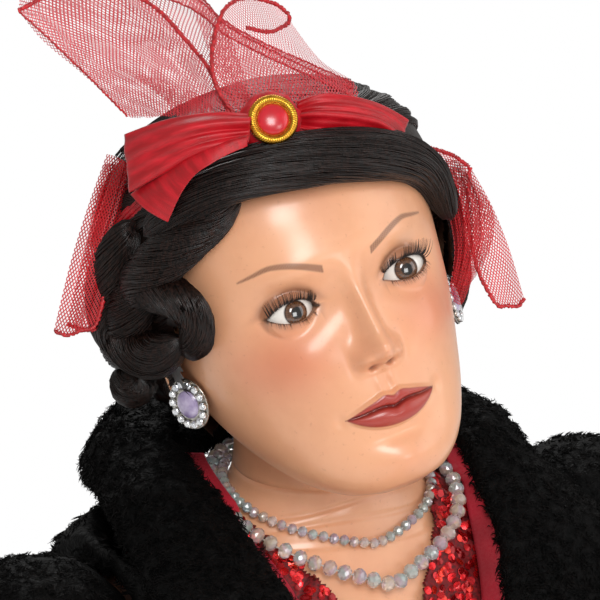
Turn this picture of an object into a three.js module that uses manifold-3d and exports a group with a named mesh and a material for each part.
// Sitting doll: a stuffed seated body with a composition head, hands and legs, a wig, a net fascinator,
// crystal necklaces, a sequined dress and a plush coat. Millimetres, +Z up, the doll faces -Y.
import * as THREE from "three";
import Module from "manifold-3d";
import { mergeVertices } from "three/addons/utils/BufferGeometryUtils.js";

const wasm = await Module();
wasm.setup();

const V = (x, y, z) => new THREE.Vector3(x, y, z);
const rad = THREE.MathUtils.degToRad;
const clamp = THREE.MathUtils.clamp;
const smooth = THREE.MathUtils.smoothstep;
const lerp = THREE.MathUtils.lerp;

// Fits
const SEAT_GAP = 0.4;          // between a piece and what carries it
const RUN_GAP = 0.4;           // between pieces that turn past each other
const FACET_TOLERANCE = 0.01;  // facets flatter than this are merged

// Body: height, half width, front and back depth of each station of the stuffed figure
const BODY_STATIONS = [
  [12, 146, 95, 112],
  [45, 158, 100, 126],
  [110, 150, 92, 118],
  [180, 122, 80, 92],
  [235, 106, 74, 76],
  [300, 113, 88, 80],
  [350, 120, 98, 84],
  [395, 128, 94, 84],
  [425, 134, 80, 78],
  [445, 124, 68, 70],
  [460, 100, 60, 62],
  [475, 76, 52, 55],
  [488, 58, 46, 48],
  [500, 47, 43, 44],
  [520, 43, 42, 43],
  [570, 43, 42, 43],
];
const BUST = { x: 50, z: 352, spread: 30, rise: 13 };
const PLATE_BOTTOM = 392;      // the composition shoulder plate starts here
const PLATE_WALL = 8;
const BODY_TOP = 462;          // top of the stuffing inside the plate
const NECK_LEAN = { from: 470, to: 560, x: -9, y: -3 };
const SEAT_BOARD = { halfWidth: 132, front: 46, back: 100, thickness: 11 };

// Neck joint: the head's neck ends in a ball that turns in the plate's cup on one bolt
const NECK_PIVOT = V(0, 0, 544);
const NECK_BALL = 58;
const NECK_BOLT = { radius: 4, from: 462, to: 515, flange: 11, flangeThickness: 3 };

// Head
const HEAD_CENTRE = V(-24, -12, 604);
const HEAD_TURN = -8;          // degrees, toward its right
const HEAD_NOD = -17;          // back
const HEAD_TILT = -13;         // onto its right shoulder
// height, half width, front and back of each station of the head, about its centre
const HEAD_STATIONS = [
  [-101, 14, 66, -40],
  [-97, 27, 75, -22],
  [-86, 41, 80, 2],
  [-68, 53, 81, 32],
  [-46, 62, 82, 60],
  [-22, 69, 83, 80],
  [2, 73, 83, 91],
  [28, 75, 84, 96],
  [50, 75, 82, 95],
  [70, 69, 73, 87],
  [86, 55, 55, 70],
  [96, 35, 33, 45],
  [101, 14, 12, 18],
];
const EYE = { x: 31, y: -64, z: 1, radius: 13.5 };
const EAR = { y: 8, z: -8, height: 27, depth: 15 };
// Each swell of the face: x, z, spread in x, spread in z, push forward. Pairs are mirrored.
const FACE_SWELLS = [
  [0, 24, 40, 11, 3.0],
  [0, -4, 5.5, 20, 8.0],
  [0, -30, 7.5, 8.5, 13.0],
  [0, -59, 15, 9, 3.2],
  [0, -54.5, 12, 3.4, 2.2],
  [0, -64, 10, 3.6, 2.6],
  [0, -73, 12, 4, -2.0],
  [0, -88, 14, 9, 3.5],
];
const FACE_PAIRS = [
  [31, 2, 13, 10, -7.0],
  [9.5, -35, 4.5, 4.5, 5.0],
  [38, -30, 16, 15, 4.0],
  [9, 12, 7, 12, -1.0],
];
const WIG_THICKNESS = 9;
const WIG_EASE = 4.8;          // coarse inner side of the cap, clear of the finer head
const HAIRLINE = { halfWidth: 66, halfHeight: 92, z: -30 };
const WIG_BOTTOM = -64;

// Fascinator, in the head's frame: band, bow, net and brooch, worn at a slant
const BAND = { width: 26, thickness: 6, ease: 2, front: 84, back: -4, slant: -0.3 };
const KNOT = V(-15, -84, 92);
const KNOT_SIZE = V(16, 9, 16);
const BOW = { length: 72, root: 26, end: 44, pleats: 4, depth: 3, thickness: 5 };
// Each net: gathered point, the loose edge it spreads to, depth and number of its ruffles
const NET_THICKNESS = 1.4;
const NETS = [
  ["net_upper_right", [-19, -82, 98],
    [[-36, -66, 124], [-40, -50, 160], [-70, -30, 183], [-97, -20, 180], [-90, -24, 156], [-58, -50, 120]],
    10, 2],
  ["net_upper_left", [-11, -82, 98],
    [[-28, -66, 128], [-30, -54, 168], [0, -50, 170], [24, -56, 142], [42, -54, 112], [50, -50, 84]], 10, 2.5],
  ["net_side_right", [-66, -18, 94],
    [[-88, -10, 90], [-116, 4, 64], [-127, 10, 24], [-112, 12, 12], [-99, 10, 18], [-92, 2, 44]], 8, 1.5],
  ["net_side_left", [66, -34, 56],
    [[88, -24, 48], [110, -10, 28], [122, -4, -10], [117, 0, -50], [102, 2, -46], [96, -2, -8]], 8, 1.5],
];
const BROOCH_SEAT = 2;         // how deep the brooch sits into the knot
const BROOCH = { stone: 8, bezel: 10, rope: 2.1, twists: 16, plate: 2 };
const EARRING = { x: -73.7, y: -7.3, z: -33, stone: 6, ring: 9.2, gem: 2.1, gems: 14, tall: 1.16, plate: 2 };

// Clothes
const DRESS_THICKNESS = 3;
const DRESS_EASE = 1.2;       // the dress stands this far off the stuffing
const NECKLINE = { left: 50, right: 70, top: 500, bottom: 424 };
const COAT_THICKNESS = 20;
const COAT_EASE = 6.5;         // between the lining and the dress
const COAT_HEM = 3;
const COAT_TOP = 454;
const COLLAR_THICKNESS = 24;
const FACING_THICKNESS = 4;
const FACING_FROM = 300;       // lower end of the velvet, behind the collar
const SKIRT = { halfWidth: 158, top: 150, back: -62, hem: -336, under: -294, fold: 5, folds: 8 };

// Necklaces: bead radius, bead count, height at the back and front, and what lies under it
const LONG_STRAND = { bead: 4.3, count: 50, back: 499, front: 455, over: DRESS_EASE + DRESS_THICKNESS };
const SHORT_STRAND = { bead: 2.9, count: 52, back: 507, front: 476, over: 0 };

// Arms, given for the doll's left side and mirrored
const SHOULDER = V(163, 5, 424);
const ELBOW = V(232, -50, 250);
const WRIST = V(92, -240, 214);
const SLEEVE = { shoulder: 56, middle: 50, elbow: 46, cuff: 50 };
const ELBOW_RANGE = 30;        // degrees the forearm comes up
const ARM = { shoulder: 34, elbow: 26, wrist: 19 };
const HAND = { fingers: [[-20, 50], [-6.8, 62], [6.6, 66], [19, 58]] };   // place across, length

// Legs, given for the left side and mirrored
const HIP = V(72, -60, 74);
const KNEE = V(72, -345, 60);
const THIGH = { hip: 66, middle: 60, knee: 53 };
const KNEE_BALL = 47;
const SHIN_LENGTH = 292;
const SHIN_SLOPE = 4.1;        // degrees the shins fall toward the heels
const FOOT_LENGTH = 176;
const SHOE_WALL = 3;

const COLOURS = {
  skin: [0xc98a64, 0.35, 0],
  cloth: [0xd8c4a4, 0.9, 0],
  wood: [0xa87c4c, 0.7, 0],
  steel: [0x9aa0a6, 0.35, 1],
  eye: [0xf4f1ea, 0.08, 0],
  lash: [0x120d0b, 0.8, 0],
  hair: [0x2a1510, 0.35, 0],
  satin: [0xb3121c, 0.35, 0],
  net: [0xc22832, 0.8, 0],
  gold: [0xc79a3f, 0.3, 1],
  redStone: [0x9c0f14, 0.06, 0],
  silver: [0xd6d6da, 0.2, 1],
  crystal: [0xe6e6f2, 0.05, 0],
  sequin: [0xa5161f, 0.3, 0.4],
  fur: [0x16130f, 0.95, 0],
  velvet: [0x6d0f24, 0.9, 0],
  shoe: [0x17120f, 0.25, 0],
  sole: [0x2b1d14, 0.6, 0],
};

// Solids

function signedVolume(geometry) {
  const p = geometry.getAttribute("position");
  const index = geometry.getIndex();
  const [a, b, c] = [V(0, 0, 0), V(0, 0, 0), V(0, 0, 0)];
  let total = 0;
  for (let i = 0; i < index.count; i += 3) {
    a.fromBufferAttribute(p, index.getX(i));
    b.fromBufferAttribute(p, index.getX(i + 1));
    c.fromBufferAttribute(p, index.getX(i + 2));
    total += a.dot(b.cross(c)) / 6;
  }
  return total;
}

// Welds a closed surface, turns its faces outward and hands it over as a solid
function solid(geometry, matrix) {
  const raw = geometry.clone();
  if (matrix) raw.applyMatrix4(matrix);
  for (const name of Object.keys(raw.attributes)) {
    if (name !== "position") raw.deleteAttribute(name);
  }
  const welded = mergeVertices(raw, 1e-4);
  const index = Array.from(welded.getIndex().array);
  if (signedVolume(welded) < 0) index.reverse();
  const mesh = new wasm.Mesh({
    numProp: 3,
    vertProperties: new Float32Array(welded.getAttribute("position").array),
    triVerts: new Uint32Array(index),
  });
  return new wasm.Manifold(mesh);
}

const join = (...solids) => solids.reduce((all, next) => all.add(next));
const cut = (base, ...tools) => tools.reduce((left, tool) => left.subtract(tool), base);

function geometryOf(body) {
  const mesh = body.getMesh();
  const geometry = new THREE.BufferGeometry();
  geometry.setAttribute("position", new THREE.BufferAttribute(new Float32Array(mesh.vertProperties), 3));
  geometry.setIndex(new THREE.BufferAttribute(new Uint32Array(mesh.triVerts), 1));
  geometry.computeVertexNormals();
  return geometry;
}

// The largest connected part of a cut piece: offcuts are thrown away, as at the bench
function mainPiece(body) {
  const parts = body.decompose();
  return parts.reduce((best, next) => (Math.abs(next.volume()) > Math.abs(best.volume()) ? next : best));
}

function surface(points, faces) {
  const geometry = new THREE.BufferGeometry();
  const places = points.flatMap((p) => [p.x, p.y, p.z]);
  geometry.setAttribute("position", new THREE.Float32BufferAttribute(places, 3));
  geometry.setIndex(faces.flat());
  return geometry;
}

// Skin over a row of closed rings of equal count, with a fan at each end
function loft(rings) {
  const n = rings[0].length;
  const points = rings.flat();
  const faces = [];
  for (let i = 0; i + 1 < rings.length; i += 1) {
    for (let j = 0; j < n; j += 1) {
      const a = i * n + j;
      const b = i * n + ((j + 1) % n);
      faces.push([a, b, b + n], [a, b + n, a + n]);
    }
  }
  for (const [row, flip] of [[0, true], [rings.length - 1, false]]) {
    const centre = rings[row].reduce((sum, p) => sum.add(p), V(0, 0, 0)).divideScalar(n);
    points.push(centre);
    for (let j = 0; j < n; j += 1) {
      const a = row * n + j;
      const b = row * n + ((j + 1) % n);
      faces.push(flip ? [points.length - 1, b, a] : [points.length - 1, a, b]);
    }
  }
  return surface(points, faces);
}

// Slab of even thickness about the middle surface at(u, v), with u and v from 0 to 1.
// over carries its edges that much further, for the room it needs in its neighbours.
function slab(at, nu, nv, thickness, over = 0) {
  const past = (i, n) => (i === 0 ? -over : (i === n ? over : 0));
  const side = (sign) => {
    const rows = [];
    for (let i = 0; i <= nu; i += 1) {
      for (let j = 0; j <= nv; j += 1) {
        const [u, v] = [i / nu, j / nv];
        const e = 1e-3;
        const du = at(Math.min(u + e, 1), v).sub(at(Math.max(u - e, 0), v));
        const dv = at(u, Math.min(v + e, 1)).sub(at(u, Math.max(v - e, 0)));
        const half = (typeof thickness === "function" ? thickness(u, v) : thickness) / 2;
        rows.push(at(u, v).addScaledVector(du.clone().cross(dv).normalize(), sign * half)
          .addScaledVector(du.normalize(), past(i, nu)).addScaledVector(dv.normalize(), past(j, nv)));
      }
    }
    return rows;
  };
  const points = [...side(1), ...side(-1)];
  const count = (nu + 1) * (nv + 1);
  const id = (i, j) => i * (nv + 1) + j;
  const faces = [];
  for (let i = 0; i < nu; i += 1) {
    for (let j = 0; j < nv; j += 1) {
      const [a, b, c, d] = [id(i, j), id(i + 1, j), id(i + 1, j + 1), id(i, j + 1)];
      faces.push([a, b, c], [a, c, d], [count + a, count + c, count + b], [count + a, count + d, count + c]);
    }
  }
  const rim = [];
  for (let i = 0; i < nu; i += 1) rim.push(id(i, 0));
  for (let j = 0; j < nv; j += 1) rim.push(id(nu, j));
  for (let i = nu; i > 0; i -= 1) rim.push(id(i, nv));
  for (let j = nv; j > 0; j -= 1) rim.push(id(0, j));
  rim.forEach((a, k) => {
    const b = rim[(k + 1) % rim.length];
    faces.push([a, count + b, b], [a, count + a, count + b]);
  });
  return surface(points, faces);
}

// Round limb along a smooth line through the points, with domed ends
function limb(points, radii, { sides = 12, steps = 10, grow = 0, flat = 1, domes = [2, 2], side } = {}) {
  const curve = new THREE.CatmullRomCurve3(points, false, "centripetal");
  const radiusAt = (t) => {
    const s = t * (radii.length - 1);
    const k = Math.min(Math.floor(s), radii.length - 2);
    return lerp(radii[k], radii[k + 1], smooth(s - k, 0, 1)) + grow;
  };
  const ring = (centre, tangent, r) => {
    const across = (side ?? V(0.31, 0.17, 0.93)).clone();
    across.addScaledVector(tangent, -across.dot(tangent)).normalize();
    const other = tangent.clone().cross(across);
    return Array.from({ length: sides }, (_, k) => {
      const a = (2 * Math.PI * k) / sides;
      return centre.clone().addScaledVector(across, r * Math.cos(a)).addScaledVector(other, r * flat * Math.sin(a));
    });
  };
  const rings = [];
  const domeRings = (t, sign, count) => {
    const out = [];
    const r = radiusAt(t);
    for (let k = count - 1; k >= 1; k -= 1) {
      const a = (k / count) * (Math.PI / 2);
      const centre = curve.getPoint(t).addScaledVector(curve.getTangent(t), sign * r * Math.sin(a));
      out.push(ring(centre, curve.getTangent(t), r * Math.cos(a)));
    }
    return out;
  };
  rings.push(...domeRings(0, -1, domes[0]));
  for (let i = 0; i <= steps; i += 1) {
    const t = i / steps;
    rings.push(ring(curve.getPoint(t), curve.getTangent(t), radiusAt(t)));
  }
  rings.push(...domeRings(1, 1, domes[1]).reverse());
  return loft(rings);
}

const BALL = [12, 6];         // facets round and down a ball

function ball(centre, radius) {
  return new THREE.SphereGeometry(radius, ...BALL).rotateX(Math.PI / 2).translate(centre.x, centre.y, centre.z);
}

const HINGE_BALL = [20, 5];   // facets round the hinge line and along it

// Ball of a joint that turns about a line from side to side; the socket's flats clear its corners
function hingeBall(centre, radius) {
  return new THREE.SphereGeometry(radius, ...HINGE_BALL).rotateZ(Math.PI / 2)
    .translate(centre.x, centre.y, centre.z);
}

function hingeSocket(centre, radius) {
  return hingeBall(centre, radius / Math.cos(Math.PI / HINGE_BALL[0]));
}

// Socket whose flats stay outside the radius, however the ball in it is turned
function socket(centre, radius) {
  return ball(centre, radius / (Math.cos(Math.PI / BALL[0]) * Math.cos(Math.PI / (2 * BALL[1]))));
}

function block(x0, x1, y0, y1, z0, z1) {
  return new THREE.BoxGeometry(x1 - x0, y1 - y0, z1 - z0)
    .translate((x0 + x1) / 2, (y0 + y1) / 2, (z0 + z1) / 2);
}

function between(stations, z, column) {
  if (z <= stations[0][0]) return stations[0][column];
  for (let i = 0; i + 1 < stations.length; i += 1) {
    const [low, high] = [stations[i], stations[i + 1]];
    if (z <= high[0]) {
      const before = stations[Math.max(i - 1, 0)];
      const after = stations[Math.min(i + 2, stations.length - 1)];
      const span = high[0] - low[0];
      const t = (z - low[0]) / span;
      const m0 = ((high[column] - before[column]) / (high[0] - before[0])) * span;
      const m1 = ((after[column] - low[column]) / (after[0] - low[0])) * span;
      const [t2, t3] = [t * t, t * t * t];
      return (2 * t3 - 3 * t2 + 1) * low[column] + (t3 - 2 * t2 + t) * m0
        + (3 * t2 - 2 * t3) * high[column] + (t3 - t2) * m1;
    }
  }
  return stations[stations.length - 1][column];
}

const MATERIALS = Object.fromEntries(Object.entries(COLOURS).map(([name, [color, roughness, metalness]]) => [
  name, new THREE.MeshStandardMaterial({ name, color, roughness, metalness }),
]));

function piece(name, body, material, mirrored = false) {
  const mesh = new THREE.Mesh(geometryOf(body.simplify(FACET_TOLERANCE)), MATERIALS[material]);
  mesh.name = name;
  if (mirrored) mesh.scale.x = -1;
  return mesh;
}

// Stuffed body

function neckLean(z) {
  const t = clamp((z - NECK_LEAN.from) / (NECK_LEAN.to - NECK_LEAN.from), 0, 1);
  return V(NECK_LEAN.x * t, NECK_LEAN.y * t, 0);
}

// Point of the figure's skin at angle a (0 at the left side, 90 at the back) and height z
function skinPoint(a, z) {
  const [c, s] = [Math.cos(a), Math.sin(a)];
  const power = 2 / lerp(2.5, 2, smooth(z, 440, 500));
  const x = Math.sign(c) * Math.abs(c) ** power * between(BODY_STATIONS, z, 1);
  const depth = between(BODY_STATIONS, z, s < 0 ? 2 : 3);
  let y = Math.sign(s) * Math.abs(s) ** power * depth;
  if (s < 0) {
    const [dx, dz] = [(Math.abs(x) - BUST.x) / BUST.spread, (z - BUST.z) / BUST.spread];
    y -= BUST.rise * Math.exp(-dx * dx - dz * dz);
  }
  return V(x, y, z).add(neckLean(z));
}

function onSkin(a, z, lift) {
  const along = skinPoint(a + 0.01, z).sub(skinPoint(a - 0.01, z));
  const up = skinPoint(a, z + 0.5).sub(skinPoint(a, z - 0.5));
  return skinPoint(a, z).addScaledVector(along.cross(up).normalize(), lift);
}

function skinRing(z, lift, sides) {
  return Array.from({ length: sides }, (_, k) => {
    const p = onSkin((2 * Math.PI * k) / sides, z, lift);
    p.z = z;
    return p;
  });
}

function bodyLoft(heights, lift, sides = 12) {
  return loft(heights.map((z) => skinRing(z, typeof lift === "function" ? lift(z) : lift, sides)));
}

function heightsFrom(low, high) {
  const inner = BODY_STATIONS.map(([z]) => z).filter((z) => z > low + 3 && z < high - 3);
  return [low, ...inner, high];
}

function torso(grow = 0) {
  const wall = (z) => grow - (z > PLATE_BOTTOM - 1 ? PLATE_WALL : 0);
  const low = heightsFrom(SEAT_BOARD.thickness + SEAT_GAP - grow, PLATE_BOTTOM - 2);
  const high = heightsFrom(PLATE_BOTTOM + grow, BODY_TOP + grow);
  return solid(bodyLoft([...low, ...high], wall));
}

function seatBoard(grow = 0) {
  const outline = new THREE.Shape(Array.from({ length: 24 }, (_, k) => {
    const a = (2 * Math.PI * k) / 24;
    const depth = Math.sin(a) < 0 ? SEAT_BOARD.front : SEAT_BOARD.back;
    return new THREE.Vector2((SEAT_BOARD.halfWidth + grow) * Math.cos(a), (depth + grow) * Math.sin(a));
  }));
  const board = new THREE.ExtrudeGeometry(outline, { depth: SEAT_BOARD.thickness + grow, bevelEnabled: false });
  return solid(board);
}

function figure(grow) {
  return solid(bodyLoft(heightsFrom(PLATE_BOTTOM - grow, 560), grow));
}

function boltHole(grow) {
  const { radius, from, to } = NECK_BOLT;
  const length = to - from + 2 * grow;
  const shank = new THREE.CylinderGeometry(radius + grow, radius + grow, length, 10).rotateX(Math.PI / 2);
  return shank.translate(NECK_PIVOT.x, NECK_PIVOT.y, (from + to) / 2);
}

function neckBolt(grow = 0) {
  const { flange, flangeThickness, from } = NECK_BOLT;
  const washer = new THREE.CylinderGeometry(flange + grow, flange + grow, flangeThickness + 2 * grow, 12);
  washer.rotateX(Math.PI / 2).translate(NECK_PIVOT.x, NECK_PIVOT.y, from + flangeThickness / 2 + 1);
  return join(solid(boltHole(grow)), solid(washer));
}

function shoulderPlate(grow = 0) {
  const shape = cut(figure(grow), solid(socket(NECK_PIVOT, NECK_BALL + RUN_GAP - grow)));
  const inside = torso(SEAT_GAP);
  return mainPiece(cut(shape, inside, solid(block(-99, 99, -99, 99, NECK_PIVOT.z, 700))));
}

// Dress

function neckline(grow = 0) {
  const { left, right, top, bottom } = NECKLINE;
  const vee = new THREE.Shape([
    new THREE.Vector2(-right + grow, top), new THREE.Vector2(0, bottom + grow),
    new THREE.Vector2(left - grow, top), new THREE.Vector2(0, top + 60),
  ]);
  return new THREE.ExtrudeGeometry(vee, { depth: 160, bevelEnabled: false })
    .rotateX(Math.PI / 2).translate(0, 8, 0);
}

function bodice(grow = 0) {
  const outer = solid(bodyLoft(heightsFrom(172 - grow, 490 + grow), DRESS_EASE + DRESS_THICKNESS + grow));
  const inner = solid(bodyLoft(heightsFrom(150, 540), DRESS_EASE));
  const back = solid(new THREE.CylinderGeometry(66, 66, 120, 24).rotateX(Math.PI / 2).translate(0, 12, 535));
  return mainPiece(cut(outer, inner, solid(neckline(grow)), back));
}

function thigh(grow = 0) {
  const end = KNEE.clone().add(V(0, 16, 0));
  const body = limb([HIP, HIP.clone().lerp(end, 0.5), end], [THIGH.hip, THIGH.middle, THIGH.knee],
    { sides: 10, steps: 3, grow, domes: [2, 1], side: V(0, 0, 1) });
  return cut(solid(body), kneeSweep(grow));
}

// Space behind and under the knees that the calves need when they hang down
function kneeSweep(grow = 0) {
  return solid(block(-300, 300, -500, SKIRT.under - grow, -50, KNEE.z - grow));
}

// Skirt over both thighs: its section is a rounded box with lengthwise folds on top
function skirtRing(t, grow) {
  const { halfWidth, top, back, hem, fold, folds } = SKIRT;
  const y = lerp(back, hem, t) + (t === 0 ? grow : 0) - (t === 1 ? grow : 0);
  const wide = halfWidth - 6 * t + 6 * t * t;
  const tall = lerp(top, 134, t) / 2;
  return Array.from({ length: 24 }, (_, k) => {
    const a = (2 * Math.PI * k) / 24;
    const [c, s] = [Math.cos(a), Math.sin(a)];
    const ripple = s > -0.3 ? fold * (0.4 + 0.6 * t) * Math.cos(folds * 2 * a + 2 * t) : 0;
    const x = Math.sign(c) * Math.abs(c) ** 0.7 * (wide + grow + ripple * 0.5);
    const z = tall + Math.sign(s) * Math.abs(s) ** 0.7 * (tall + grow + (s > 0 ? ripple : 0));
    return V(x, y, Math.max(z, 0.2 - grow));
  });
}

function skirt(grow = 0) {
  return cut(solid(loft(Array.from({ length: 5 }, (_, k) => skirtRing(k / 4, grow)))), kneeSweep(grow));
}

// Coat

function coatOpening(z) {
  const lap = lerp(86, 20, smooth(z, 120, 300));
  return rad(lap + lerp(0, 34, smooth(z, 300, COAT_TOP)));
}

const COAT_ROWS = [
  COAT_HEM, ...BODY_STATIONS.map(([z]) => z).filter((z) => z > 20 && z < COAT_TOP - 4), COAT_TOP,
];

function coatSurface(u, v) {
  const row = v * (COAT_ROWS.length - 1);
  const k = Math.min(Math.floor(row), COAT_ROWS.length - 2);
  const z = lerp(COAT_ROWS[k], COAT_ROWS[k + 1], row - k);
  const open = coatOpening(z);
  const a = -Math.PI / 2 + open + u * (2 * Math.PI - 2 * open);
  const folds = 5 * (1 - smooth(z, 30, 230)) * Math.cos(9 * a);
  const lift = DRESS_EASE + DRESS_THICKNESS + COAT_THICKNESS / 2 + COAT_EASE + Math.abs(folds);
  const p = onSkin(a, Math.max(z, 14), lift);
  return z < 60 ? p.setZ(Math.max(z, COAT_HEM)) : p;
}

// Everything the sleeve sweeps as it swings about the shoulder line: a ball, then the cone inside the arm
function armRoom(gap) {
  const facets = 16;
  const reach = (SLEEVE.shoulder + gap) / Math.cos(Math.PI / 24);
  const profile = [0, 15, 30, 44].map((a) => [reach * Math.sin(rad(a)), SHOULDER.x - reach * Math.cos(rad(a))]);
  const along = ELBOW.clone().sub(SHOULDER);
  const lean = Math.asin(along.x / along.length());
  const inner = (r) => SHOULDER.x + r * Math.tan(lean) - (SLEEVE.middle + gap) / Math.cos(lean) - 1;
  const end = Math.hypot(along.y, along.z) + SLEEVE.elbow + 4;
  profile.push([end, inner(end)], [end, SHOULDER.x + 160], [0, SHOULDER.x + 160]);
  const points = profile.map(([r, x]) => new THREE.Vector2(r / Math.cos(Math.PI / facets), x));
  return new THREE.LatheGeometry(points, facets).rotateZ(-Math.PI / 2).translate(0, SHOULDER.y, SHOULDER.z);
}

const MIRROR = new THREE.Matrix4().makeScale(-1, 1, 1);

function coat(grow = 0) {
  const shell = solid(slab(coatSurface, 14, COAT_ROWS.length - 1, COAT_THICKNESS + 2 * grow, grow));
  const rooms = [solid(armRoom(RUN_GAP - grow)), solid(armRoom(RUN_GAP - grow), MIRROR)];
  const under = solid(block(-400, 400, -400, 400, -50, 0.5 - grow));
  return mainPiece(cut(shell, ...rooms, under));
}

// Shawl collar, for u from the right front edge round the back to the left front edge
const COLLAR_INNER = [
  [14, -126, 296], [36, -116, 385], [60, -77, 457], [76, -8, 502], [60, 64, 513], [0, 90, 515],
];
const COLLAR_OUTER = [
  [58, -130, 300], [98, -118, 372], [130, -70, 446], [126, 28, 494], [86, 102, 480], [0, 134, 468],
];

function mirroredCurve(list) {
  const left = list.map(([x, y, z]) => V(x, y, z));
  const right = list.slice(0, -1).map(([x, y, z]) => V(-x, y, z));
  return new THREE.CatmullRomCurve3([...right, ...left.reverse()], false, "centripetal");
}

const collarInner = mirroredCurve(COLLAR_INNER);
const collarOuter = mirroredCurve(COLLAR_OUTER);

function collarSurface(u, v) {
  const p = collarInner.getPoint(u).lerp(collarOuter.getPoint(u), v);
  const out = V(p.x, p.y, 0).normalize();
  const crown = Math.sin(Math.PI * clamp(v, 0, 1)) * 12;
  return p.addScaledVector(out, crown * 0.7).add(V(0, 0, crown * 0.6));
}

function collar(grow = 0) {
  const thickness = (u, v) => (COLLAR_THICKNESS + 2 * grow) * (0.72 + 0.28 * Math.sin(Math.PI * v));
  return solid(slab(collarSurface, 14, 3, thickness, grow));
}

// Velvet strip inside each front edge of the coat
function facingSurface(u, v) {
  const z = lerp(FACING_FROM, 476, u);
  const open = coatOpening(Math.min(z, 440)) + rad(2);
  const a = -Math.PI / 2 + open - rad(lerp(11, 2, v));
  return onSkin(a, z, SEAT_GAP * 2 + DRESS_THICKNESS + FACING_THICKNESS / 2 + 1.5);
}

function facing(grow = 0) {
  return solid(slab(facingSurface, 8, 1, FACING_THICKNESS + 2 * grow, grow));
}

// Necklaces

function strandLoop({ bead, back, front, over }) {
  const at = (k) => {
    const a = (2 * Math.PI * k) / 240 - Math.PI / 2;
    const rise = ((1 + Math.sin(a)) / 2) ** 0.4;
    return onSkin(a, lerp(front, back, rise), bead + over + SEAT_GAP);
  };
  return new THREE.CatmullRomCurve3(Array.from({ length: 240 }, (_, k) => at(k)), true);
}

// Rings along the strand's loop, with a radius and a turn of its own at each step
function strandRings(loop, steps, sides, radiusAt, turnAt) {
  return Array.from({ length: steps }, (_, k) => {
    const tangent = loop.getTangentAt(k / steps);
    const up = V(0, 0, 1).addScaledVector(tangent, -tangent.z).normalize();
    const out = tangent.clone().cross(up);
    return Array.from({ length: sides }, (_, j) => {
      const b = (2 * Math.PI * (j + turnAt(k))) / sides;
      return loop.getPointAt(k / steps).addScaledVector(up, radiusAt(k) * Math.cos(b))
        .addScaledVector(out, radiusAt(k) * Math.sin(b));
    });
  });
}

// Beads strung on one thread round the neck, each a faceted double cone
function strand(spec, sides) {
  const { bead, count } = spec;
  const radiusAt = (k) => (k % 2 ? bead : bead * 0.35);
  const turnAt = (k) => (Math.floor(k / 2) % 2) / 2;
  return solid(hoop(strandRings(strandLoop(spec), count * 2, sides, radiusAt, turnAt)));
}

// Smooth channel that a strand needs in what lies beside it
function strandRoom(spec) {
  const radius = (spec.bead + SEAT_GAP * 2) / Math.cos(Math.PI / 6);
  return solid(hoop(strandRings(strandLoop(spec), 60, 6, () => radius, () => 0)));
}

// Arms

// Half space that the forearm takes when it is fully up, seen from the upper arm
function foldedForearm(gap) {
  const folded = WRIST.clone().sub(ELBOW).applyAxisAngle(V(-1, 0, 0), rad(ELBOW_RANGE)).normalize();
  const toward = SHOULDER.clone().sub(ELBOW);
  toward.addScaledVector(folded, -toward.dot(folded)).normalize();
  const place = new THREE.Matrix4().makeBasis(folded, toward.clone().cross(folded), toward).setPosition(ELBOW);
  return block(-300, 300, -300, 300, -300, SLEEVE.elbow + gap).applyMatrix4(place);
}

function upperSleeve(grow = 0) {
  const end = ELBOW.clone().lerp(SHOULDER, (SLEEVE.elbow - 4) / ELBOW.distanceTo(SHOULDER));
  const tube = limb([SHOULDER, SHOULDER.clone().lerp(end, 0.5), end],
    [SLEEVE.middle - 4, SLEEVE.middle, SLEEVE.elbow + 2], { sides: 9, steps: 3, grow, domes: [2, 1] });
  return join(solid(ball(SHOULDER, SLEEVE.shoulder + grow)), solid(tube));
}

function lowerTube(grow) {
  const cuff = ELBOW.clone().lerp(WRIST, 0.8);
  return solid(limb([ELBOW, ELBOW.clone().lerp(WRIST, 0.45), cuff],
    [SLEEVE.elbow - 3, SLEEVE.elbow - 1, SLEEVE.cuff],
    { sides: 10, steps: 3, grow, domes: [2, 1] }));
}

// The lower sleeve starts as a ball in the upper sleeve's end and flares to its cuff
function lowerSleeve(grow = 0) {
  return join(solid(hingeBall(ELBOW, SLEEVE.elbow + grow)), lowerTube(grow));
}

function arm(from, to, radii, grow = 0) {
  return solid(limb([from, from.clone().lerp(to, 0.5), to], radii, { sides: 8, steps: 3, grow }));
}

// Hand in its own frame: wrist at the origin, fingers along +X, palm down, thumb toward +Y
function handForm(grow) {
  const palm = limb([V(-16, 0, 0), V(8, 0, 0), V(34, 0, 1), V(66, 0, 0)], [19, 18, 24, 27],
    { sides: 8, steps: 4, grow, side: V(0, 1, 0), flat: 0.55 });
  const parts = [solid(palm)];
  HAND.fingers.forEach(([across, long]) => {
    const root = V(62, across, 1);
    const tip = V(70 + long, across * 1.1, -16);
    const knuckle = root.clone().lerp(tip, 0.5).add(V(2, 0, 6));
    parts.push(solid(limb([root, knuckle, tip], [7.6, 7, 5], { sides: 5, steps: 1, grow, domes: [1, 2] })));
  });
  const thumb = limb([V(16, 16, -3), V(44, 33, -8), V(70, 35, -14)], [9, 8, 6], { sides: 5, steps: 1, grow });
  return join(...parts, solid(thumb));
}

function hand(grow) {
  const x = WRIST.clone().sub(ELBOW).normalize().add(V(0, 0, -0.16)).normalize();
  const up = V(0.1, 0.05, 1).addScaledVector(x, -x.z).normalize();
  const place = new THREE.Matrix4().makeBasis(x, up.clone().cross(x), up).setPosition(WRIST);
  return handForm(grow).transform(place.toArray());
}

// Legs

const ANKLE = -SHIN_LENGTH;    // the lower leg stands under its knee at the origin, toes toward -Y
const legMatrix = new THREE.Matrix4().makeRotationX(rad(-90 + SHIN_SLOPE)).setPosition(KNEE);

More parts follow.
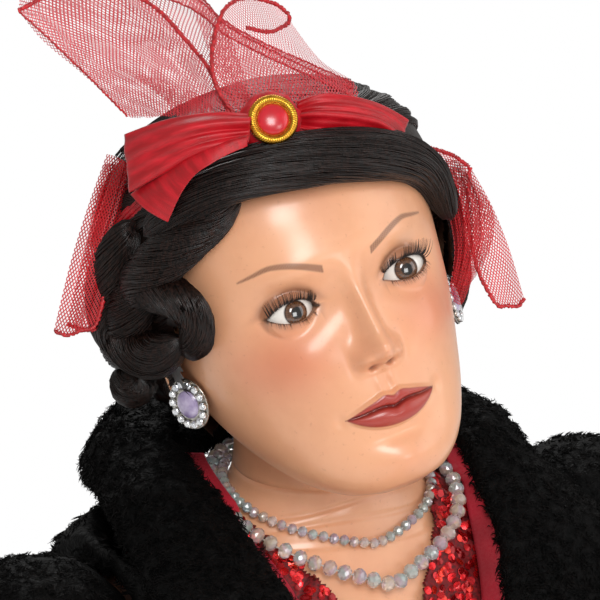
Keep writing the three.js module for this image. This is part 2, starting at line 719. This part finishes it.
function footForm(grow) {
  const path = [
    V(0, 8, ANKLE - 12), V(0, -26, ANKLE - 24), V(0, -76, ANKLE - 56), V(0, -FOOT_LENGTH * 0.66, ANKLE - 76),
  ];
  return solid(limb(path, [26, 27, 26, 14], { sides: 8, steps: 3, grow, side: V(1, 0, 0) }));
}

function calfForm(grow) {
  const path = [V(0, 0, -6), V(0, 6, -90), V(0, 4, -180), V(0, 0, ANKLE + 4)];
  return solid(limb(path, [42, 43, 33, 25], { sides: 8, steps: 3, grow, side: V(1, 0, 0) }));
}

function legForm(grow = 0) {
  return join(calfForm(grow), footForm(grow), solid(hingeBall(V(0, 0, 0), KNEE_BALL + grow)));
}

function leg() {
  return legForm().transform(legMatrix.toArray());
}

function shoeUpper() {
  const opening = new THREE.CylinderGeometry(25, 19, 120, 8).rotateX(Math.PI / 2 - 0.35)
    .translate(0, -34, ANKLE + 20);
  return mainPiece(cut(footForm(SEAT_GAP + SHOE_WALL), footForm(SEAT_GAP), calfForm(SEAT_GAP), solid(opening)))
    .transform(legMatrix.toArray());
}

function shoeSole() {
  const sole = (u, v) => {
    const y = lerp(30, -134, u);
    const wide = 24 * Math.sqrt(Math.max(1 - ((u - 0.6) / 0.62) ** 2, 0.05)) + 2;
    return V((v - 0.5) * 2 * wide, y, ANKLE - lerp(40, 96, smooth(u, 0.1, 0.72)));
  };
  const heel = new THREE.CylinderGeometry(16, 10, 62, 8).rotateX(Math.PI / 2).translate(0, 20, ANKLE - 72);
  const ground = solid(block(-60, 60, -200, 80, ANKLE - 220, ANKLE - 99));
  const tread = join(solid(slab(sole, 7, 2, 6)), solid(heel));
  return mainPiece(cut(tread, footForm(SEAT_GAP * 2 + SHOE_WALL), ground))
    .transform(legMatrix.toArray());
}

// Head

const headMatrix = new THREE.Matrix4().compose(
  HEAD_CENTRE,
  new THREE.Quaternion().setFromEuler(new THREE.Euler(rad(HEAD_NOD), rad(HEAD_TILT), rad(HEAD_TURN), "ZXY")),
  V(1, 1, 1),
);
const intoHead = headMatrix.clone().invert();

function faceSwell(x, z) {
  const bump = ([cx, cz, sx, sz, push]) => push * Math.exp(-(((x - cx) / sx) ** 2) - ((z - cz) / sz) ** 2);
  const middle = FACE_SWELLS.reduce((sum, swell) => sum + bump(swell), 0);
  return FACE_PAIRS.reduce((sum, [cx, ...rest]) => sum + bump([cx, ...rest]) + bump([-cx, ...rest]), middle);
}

function headPoint(a, z, lift) {
  const [c, s] = [Math.cos(a), Math.sin(a)];
  const wide = between(HEAD_STATIONS, z, 1) + lift;
  const [front, back] = [between(HEAD_STATIONS, z, 2) + lift, between(HEAD_STATIONS, z, 3) + lift];
  const middle = (back - front) / 2;
  const depth = (front + back) / 2;
  const x = Math.sign(c) * Math.abs(c) ** 0.9 * wide;
  let y = middle + Math.sign(s) * Math.abs(s) ** 0.9 * depth;
  if (s < -0.3) y -= faceSwell(x, z) * smooth(-s, 0.3, 0.6);
  return V(x, y, z);
}

// Angles round the head, closer together over the face
function headAngles(count) {
  return Array.from({ length: count }, (_, k) => {
    const t = k / count;
    return 2 * Math.PI * t - Math.PI / 2 - 0.42 * Math.sin(2 * Math.PI * t);
  });
}

function headLoft(lift, columns, rows, low = -101, high = 101) {
  const angles = headAngles(columns);
  const heights = Array.from({ length: rows }, (_, k) => {
    const t = k / (rows - 1);
    return lerp(low, high, 0.5 - 0.5 * Math.cos(Math.PI * lerp(0.04, 0.96, t)) / Math.cos(0.04 * Math.PI));
  });
  const spread = (z) => z + (z > 0 ? lift : -lift) * smooth(Math.abs(z), 40, 101);
  return loft(heights.map((z) => angles.map((a) => {
    const p = headPoint(a, z, lift);
    return p.setZ(spread(z));
  })));
}

function skull(lift) {
  return solid(headLoft(lift, 16, 9));
}

function face(lift) {
  return solid(headLoft(lift, 20, 16));
}

function eye(side, grow = 0) {
  return solid(ball(V(side * EYE.x, EYE.y, EYE.z), EYE.radius + grow));
}

function ear(side, grow = 0) {
  const lobe = new THREE.SphereGeometry(1, 8, 4).scale(5 + grow, EAR.depth + grow, EAR.height + grow);
  lobe.rotateZ(side * 0.35).translate(side * 73, EAR.y, EAR.z);
  return solid(lobe);
}

// Neck above the seam: the part of the figure's neck inside the ball
function turningNeck(grow = 0) {
  const neck = solid(bodyLoft(heightsFrom(478, 560), grow), intoHead);
  return neck.intersect(solid(ball(NECK_PIVOT, NECK_BALL + grow), intoHead));
}

// Room that the plate and chest take under the head, turned about the neck's axis
function plateRoom() {
  const rise = NECK_BALL + RUN_GAP;
  const profile = [[0, 380], [150, 380], [142, 448], [108, 466], [82, 481], [64, 493]];
  const top = NECK_PIVOT.z - Math.sqrt(rise ** 2 - 57 ** 2);
  profile.push([57, top], [0, NECK_PIVOT.z - rise]);
  const room = new THREE.LatheGeometry(profile.map(([r, z]) => new THREE.Vector2(r, z)), 12)
    .rotateX(Math.PI / 2);
  return solid(room.translate(NECK_PIVOT.x, NECK_PIVOT.y, 0), intoHead);
}

function head() {
  const clear = cut(join(face(0), ear(1), ear(-1)), plateRoom());
  const whole = join(clear, turningNeck());
  return mainPiece(cut(whole, eye(1, SEAT_GAP), eye(-1, SEAT_GAP), solid(boltHole(RUN_GAP), intoHead)));
}

function lash(side) {
  const row = (u, v) => {
    const a = rad(lerp(-58, 58, u));
    const reach = EYE.radius + lerp(-1, 9, v);
    const rise = 7 + v * 4 - 3 * Math.sin(a) ** 2;
    return V(side * EYE.x + Math.sin(a) * reach, EYE.y - Math.cos(a) * reach, EYE.z + rise);
  };
  return mainPiece(cut(solid(slab(row, 8, 1, 1)), eye(side, SEAT_GAP), face(SEAT_GAP)));
}

function wigCap() {
  const outline = new THREE.Shape(Array.from({ length: 20 }, (_, k) => {
    const a = (2 * Math.PI * k) / 20;
    return new THREE.Vector2(HAIRLINE.halfWidth * Math.cos(a), HAIRLINE.z + HAIRLINE.halfHeight * Math.sin(a));
  }));
  const opening = new THREE.ExtrudeGeometry(outline, { depth: 160, bevelEnabled: false });
  opening.rotateX(Math.PI / 2).translate(0, -18, 0);
  const below = block(-200, 200, -200, 200, -200, WIG_BOTTOM);
  const forward = block(-200, 200, -200, 12, -200, -10);
  return mainPiece(cut(skull(WIG_THICKNESS), skull(WIG_EASE), solid(opening), solid(below), solid(forward),
    ear(1, SEAT_GAP), ear(-1, SEAT_GAP), turningNeck(SEAT_GAP)));
}

// Rolls and curls of the wig: name, path, radii
const ROLLS = [
  ["front_roll", [[-80, -44, 56], [-52, -80, 66], [-6, -93, 59], [36, -84, 50], [64, -60, 34], [78, -34, 4]],
    [10, 14, 17, 16, 13, 8]],
  ["wave_left", [[86, -22, 28], [92, 2, 4], [90, 16, -26], [80, 30, -50]], [12, 15, 14, 9]],
  ["wave_right", [[-84, -26, 38], [-93, -4, 14], [-95, 22, 4], [-88, 44, -10]], [12, 15, 15, 11]],
  ["curl_right", [[-91, 16, -16], [-91, 36, -22], [-85, 54, -27]], [10, 13, 10]],
  ["back_roll", [[-66, 66, -34], [-36, 88, -34], [0, 96, -34], [36, 88, -34], [66, 66, -34]],
    [9, 13, 14, 13, 9]],
];

function roll([, path, radii], grow = 0) {
  return solid(limb(path.map(([x, y, z]) => V(x, y, z)), radii, { sides: 7, steps: 7, grow }));
}

function hairPieces() {
  const around = [skull(WIG_THICKNESS + SEAT_GAP), ear(1, SEAT_GAP), ear(-1, SEAT_GAP), turningNeck(SEAT_GAP),
    face(SEAT_GAP), band(SEAT_GAP)];
  return ROLLS.map((spec, i) => {
    const before = ROLLS.slice(0, i).map((other) => roll(other, SEAT_GAP));
    return piece(spec[0], mainPiece(cut(roll(spec), ...around, ...before)), "hair");
  });
}

// Fascinator

// Middle line of the band: over the front of the wig and down behind the ears
function bandPoint(a, lift) {
  const front = (1 - Math.sin(a)) / 2;
  const z = lerp(BAND.back, BAND.front, front ** 0.8) + BAND.slant * 60 * Math.cos(a) * front;
  return headPoint(a, clamp(z, -60, 96), lift);
}

function band(grow = 0) {
  const steps = 18;
  const middle = WIG_THICKNESS + BAND.ease + BAND.thickness / 2;
  const rings = Array.from({ length: steps }, (_, k) => {
    const a = (2 * Math.PI * k) / steps;
    const p = bandPoint(a, middle);
    const along = bandPoint(a + 0.05, middle).sub(bandPoint(a - 0.05, middle)).normalize();
    const out = V(p.x, p.y, p.z * 0.7);
    out.addScaledVector(along, -out.dot(along)).normalize();
    const across = along.clone().cross(out);
    return Array.from({ length: 6 }, (_, j) => {
      const b = (2 * Math.PI * j) / 6;
      return p.clone().addScaledVector(across, (BAND.width / 2 + grow) * Math.cos(b))
        .addScaledVector(out, (BAND.thickness / 2 + grow) * Math.sin(b));
    });
  });
  return cut(solid(hoop(rings)), skull(WIG_THICKNESS + SEAT_GAP - grow));
}

// Knot that gathers the bow's wings and the nets, flattened where the brooch sits
function bowKnot(grow = 0) {
  const wrap = new THREE.SphereGeometry(1, 10, 6).rotateX(Math.PI / 2);
  wrap.scale(KNOT_SIZE.x + grow, KNOT_SIZE.y + grow, KNOT_SIZE.z + grow).translate(KNOT.x, KNOT.y, KNOT.z);
  return cut(solid(wrap), solid(block(-40, 40, -40, 40, grow - SEAT_GAP, 40), broochPlace()));
}

function bowWing(side, grow = 0) {
  const wing = (u, v) => {
    const wide = lerp(BOW.root, BOW.end, smooth(u, 0, 0.8));
    const reach = 12 + BOW.length * u * (1 - 0.12 * Math.cos(2 * Math.PI * v));
    const pleat = BOW.depth * Math.cos(2 * Math.PI * BOW.pleats * v) * (0.4 + 0.6 * u);
    return V(KNOT.x + side * reach * (1 - 0.1 * u), KNOT.y - 2 + pleat + 34 * u * u,
      KNOT.z + (v - 0.5) * wide + BAND.slant * side * reach * 0.75);
  };
  return mainPiece(cut(solid(slab(wing, 4, 10, BOW.thickness + 2 * grow, grow)), band(SEAT_GAP), bowKnot(SEAT_GAP),
    skull(WIG_THICKNESS + SEAT_GAP), ...ROLLS.map((spec) => roll(spec, SEAT_GAP))));
}

function net([, root, edge, ruffle, waves]) {
  const gathered = V(...root);
  const loose = new THREE.CatmullRomCurve3(edge.map((p) => V(...p)), false, "centripetal");
  const sheet = (u, v) => {
    const p = gathered.clone().lerp(loose.getPoint(u), 0.1 + 0.9 * v);
    p.y += ruffle * Math.sin(2 * Math.PI * waves * u) * v - 8 * Math.sin(Math.PI * v);
    return p;
  };
  return mainPiece(cut(solid(slab(sheet, 9, 2, NET_THICKNESS)), band(SEAT_GAP), bowKnot(SEAT_GAP),
    bowWing(1, SEAT_GAP), bowWing(-1, SEAT_GAP), skull(WIG_THICKNESS + SEAT_GAP),
    ...ROLLS.map((spec) => roll(spec, SEAT_GAP))));
}

// Closed ring of rings, such as a band, a rope or a strand of beads
function hoop(rings) {
  const n = rings[0].length;
  const faces = [];
  rings.forEach((_, i) => {
    for (let j = 0; j < n; j += 1) {
      const next = ((i + 1) % rings.length) * n;
      const [a, b] = [i * n + j, i * n + ((j + 1) % n)];
      const [c, d] = [next + ((j + 1) % n), next + j];
      faces.push([a, b, c], [a, c, d]);
    }
  });
  return surface(rings.flat(), faces);
}

// Frame of a piece worn on the head: x across, y up, z out of its face
function wornAt(centre, out) {
  const z = out.clone().normalize();
  const x = V(0, 0, 1).cross(z).normalize();
  return new THREE.Matrix4().makeBasis(x, z.clone().cross(x), z).setPosition(centre);
}

function broochPlace() {
  const out = V(-0.15, -1, 0.28).normalize();
  return wornAt(KNOT.clone().addScaledVector(out, KNOT_SIZE.clone().multiply(out).length() - BROOCH_SEAT), out);
}

// Skin of a low round setting: radius and height of each ring, rippled by ripple(angle, ring)
function settingSkin(profile, points, ripple) {
  return loft(profile.map(([r, z], row) => Array.from({ length: points }, (_, k) => {
    const a = (2 * Math.PI * k) / points;
    const bulge = ripple(a, row);
    return V((r + bulge) * Math.cos(a), (r + bulge) * Math.sin(a), z + Math.abs(bulge) * 0.5);
  })));
}

// Bezel twisted like rope, standing up round a cupped back plate
function broochBezel() {
  const { bezel, rope, twists, plate } = BROOCH;
  const profile = [[bezel - rope, 0], [bezel + rope * 0.6, 0.6], [bezel + rope, plate + rope * 0.6],
    [bezel + rope * 0.3, plate + rope * 1.7], [bezel - rope * 0.7, plate + rope * 1.4], [bezel - rope, plate]];
  const ripple = (a, row) => (row > 1 && row < 5 ? 0.32 * Math.cos(twists * a + row * 1.6) : 0);
  return solid(settingSkin(profile, twists * 2, ripple), broochPlace());
}

function dome(radius, height, base) {
  const profile = [new THREE.Vector2(0, base)];
  for (let k = 0; k <= 3; k += 1) {
    const a = (Math.PI / 2) * (k / 3);
    profile.push(new THREE.Vector2(k === 3 ? 0 : radius * Math.cos(a), base + 0.8 + height * Math.sin(a)));
  }
  profile.splice(1, 0, new THREE.Vector2(radius, base));
  return new THREE.LatheGeometry(profile, 12).rotateX(Math.PI / 2);
}

function broochStone() {
  const clear = BROOCH.bezel - BROOCH.rope * 1.25 - SEAT_GAP;
  return solid(dome(Math.min(BROOCH.stone, clear), 4.5, BROOCH.plate + SEAT_GAP), broochPlace());
}

function earringPlace() {
  return wornAt(V(EARRING.x, EARRING.y, EARRING.z), V(-0.86, -0.5, 0));
}

// Ring of claw-set stones round a cup
function earringSetting() {
  const { ring, gem, gems, tall, plate } = EARRING;
  const profile = [[ring - gem, 0], [ring + gem * 0.7, plate * 0.7], [ring, plate + gem * 0.9],
    [ring - gem, plate], [ring - gem * 1.3, plate / 2]];
  const ripple = (a, row) => (row > 0 && row < 3 ? 0.45 * Math.cos(gems * a) : 0);
  return solid(settingSkin(profile, gems * 2, ripple).scale(1, tall, 1), earringPlace());
}

function earringStone() {
  const { stone, tall, plate } = EARRING;
  return solid(dome(stone, 3.6, plate / 2 + SEAT_GAP).scale(1, tall, 1), earringPlace());
}

// Assembly

const group = new THREE.Group();
group.name = "sitting_doll";
const headGroup = new THREE.Group();
headGroup.applyMatrix4(headMatrix);
group.add(headGroup);
const sides = [["left", false], ["right", true]];
const flipped = (body) => body.transform(MIRROR.toArray());

// Stuffed body, shoulder plate and neck bolt
const sleeveRooms = [solid(armRoom(RUN_GAP)), solid(armRoom(RUN_GAP), MIRROR)];
const board = seatBoard(SEAT_GAP);
group.add(piece("seat_board", seatBoard(), "wood"));
const torsoSolid = mainPiece(cut(torso(), neckBolt(SEAT_GAP), ...sleeveRooms));
group.add(piece("torso", torsoSolid, "cloth"));
group.add(piece("shoulder_plate", mainPiece(cut(shoulderPlate(), neckBolt(SEAT_GAP), ...sleeveRooms)), "skin"));
group.add(piece("neck_bolt", neckBolt(), "steel"));

// Dress, thighs under the skirt, necklaces
const dressed = solid(bodyLoft(heightsFrom(SEAT_BOARD.thickness, 484), DRESS_EASE + DRESS_THICKNESS + SEAT_GAP));
const kneeRoom = solid(hingeSocket(KNEE, KNEE_BALL + RUN_GAP));
const under = solid(block(-300, 300, -500, 300, -50, 0.5));
const bothThighs = [thigh(SEAT_GAP), flipped(thigh(SEAT_GAP))];
const bodiceSolid = mainPiece(cut(bodice(), ...sleeveRooms, torso(SEAT_GAP)));
group.add(piece("bodice", bodiceSolid, "sequin"));
const skirtSolid = mainPiece(cut(skirt(), dressed, board, ...bothThighs, kneeRoom, flipped(kneeRoom)));
group.add(piece("skirt", skirtSolid, "sequin"));
group.add(piece("necklace_long", strand(LONG_STRAND, 4), "crystal"));
group.add(piece("necklace_short", strand(SHORT_STRAND, 3), "crystal"));
const thighSolid = mainPiece(cut(thigh(), dressed, board, kneeRoom, under));

// Coat, velvet facings and shawl collar
const channels = [strandRoom(LONG_STRAND), strandRoom(SHORT_STRAND)];
const figureRoom = [dressed, figure(SEAT_GAP * 2), ...channels, ...sleeveRooms];
const coatSolid = mainPiece(cut(coat(), bodiceSolid));
const coatRoom = coat(SEAT_GAP * 2);
const facingSolid = mainPiece(cut(
  facing(), ...figureRoom, coatRoom, coatSolid, flipped(coatSolid), bodiceSolid, flipped(bodiceSolid)));
const collarSolid = mainPiece(cut(collar(), ...figureRoom, coatRoom, facing(SEAT_GAP * 2),
  flipped(facing(SEAT_GAP * 2)), coatSolid, facingSolid, flipped(facingSolid)));
group.add(piece("coat", coatSolid, "fur"));
group.add(piece("collar", collarSolid, "fur"));

// Arms, hands, legs and shoes, made for the left side
const elbowRoom = join(solid(hingeSocket(ELBOW, SLEEVE.elbow + RUN_GAP)), solid(foldedForearm(RUN_GAP)));
const upperArm = (grow) => arm(SHOULDER.clone().lerp(ELBOW, 0.05), ELBOW.clone().lerp(SHOULDER, 0.2),
  [ARM.shoulder, ARM.elbow + 3, ARM.elbow], grow);
const foreArm = (grow) =>
  arm(ELBOW.clone().lerp(WRIST, 0.1), WRIST, [ARM.elbow, ARM.elbow - 2, ARM.wrist - 5], grow);
const upperSleeveSolid = mainPiece(cut(upperSleeve(), upperArm(SEAT_GAP), elbowRoom));
const lowerSleeveSolid = mainPiece(cut(lowerSleeve(), foreArm(SEAT_GAP), hand(SEAT_GAP)));
const handSolid = mainPiece(cut(hand(0), foreArm(SEAT_GAP)));

for (const [name, mirrored] of sides) {
  group.add(piece(`thigh_${name}`, thighSolid, "cloth", mirrored));
  group.add(piece(`facing_${name}`, facingSolid, "velvet", mirrored));
  group.add(piece(`sleeve_upper_${name}`, upperSleeveSolid, "fur", mirrored));
  group.add(piece(`arm_upper_${name}`, cut(upperArm(0), elbowRoom), "cloth", mirrored));
  group.add(piece(`sleeve_lower_${name}`, lowerSleeveSolid, "fur", mirrored));
  group.add(piece(`arm_lower_${name}`, foreArm(0), "cloth", mirrored));
  group.add(piece(`hand_${name}`, handSolid, "skin", mirrored));
  group.add(piece(`leg_${name}`, leg(), "skin", mirrored));
  group.add(piece(`shoe_${name}`, shoeUpper(), "shoe", mirrored));
  group.add(piece(`sole_${name}`, shoeSole(), "sole", mirrored));
}

// Head and what it wears
headGroup.add(piece("head", head(), "skin"));
for (const [name, mirrored] of sides) {
  headGroup.add(piece(`eye_${name}`, eye(1), "eye", mirrored));
  headGroup.add(piece(`lash_${name}`, lash(1), "lash", mirrored));
  headGroup.add(piece(`earring_setting_${name}`, flipped(earringSetting()), "silver", mirrored));
  headGroup.add(piece(`earring_stone_${name}`, flipped(earringStone()), "crystal", mirrored));
}
headGroup.add(piece("wig_cap", wigCap(), "hair"));
headGroup.add(...hairPieces());
headGroup.add(piece("hat_band", band(), "satin"));
headGroup.add(piece("bow_knot", mainPiece(cut(bowKnot(), band(SEAT_GAP), skull(WIG_THICKNESS + SEAT_GAP),
  ...ROLLS.map((spec) => roll(spec, SEAT_GAP)))), "satin"));
headGroup.add(piece("bow_left", bowWing(1), "satin"));
headGroup.add(piece("bow_right", bowWing(-1), "satin"));
for (const spec of NETS) headGroup.add(piece(spec[0], net(spec), "net"));
headGroup.add(piece("brooch_bezel", broochBezel(), "gold"));
headGroup.add(piece("brooch_stone", broochStone(), "redStone"));

export default group;
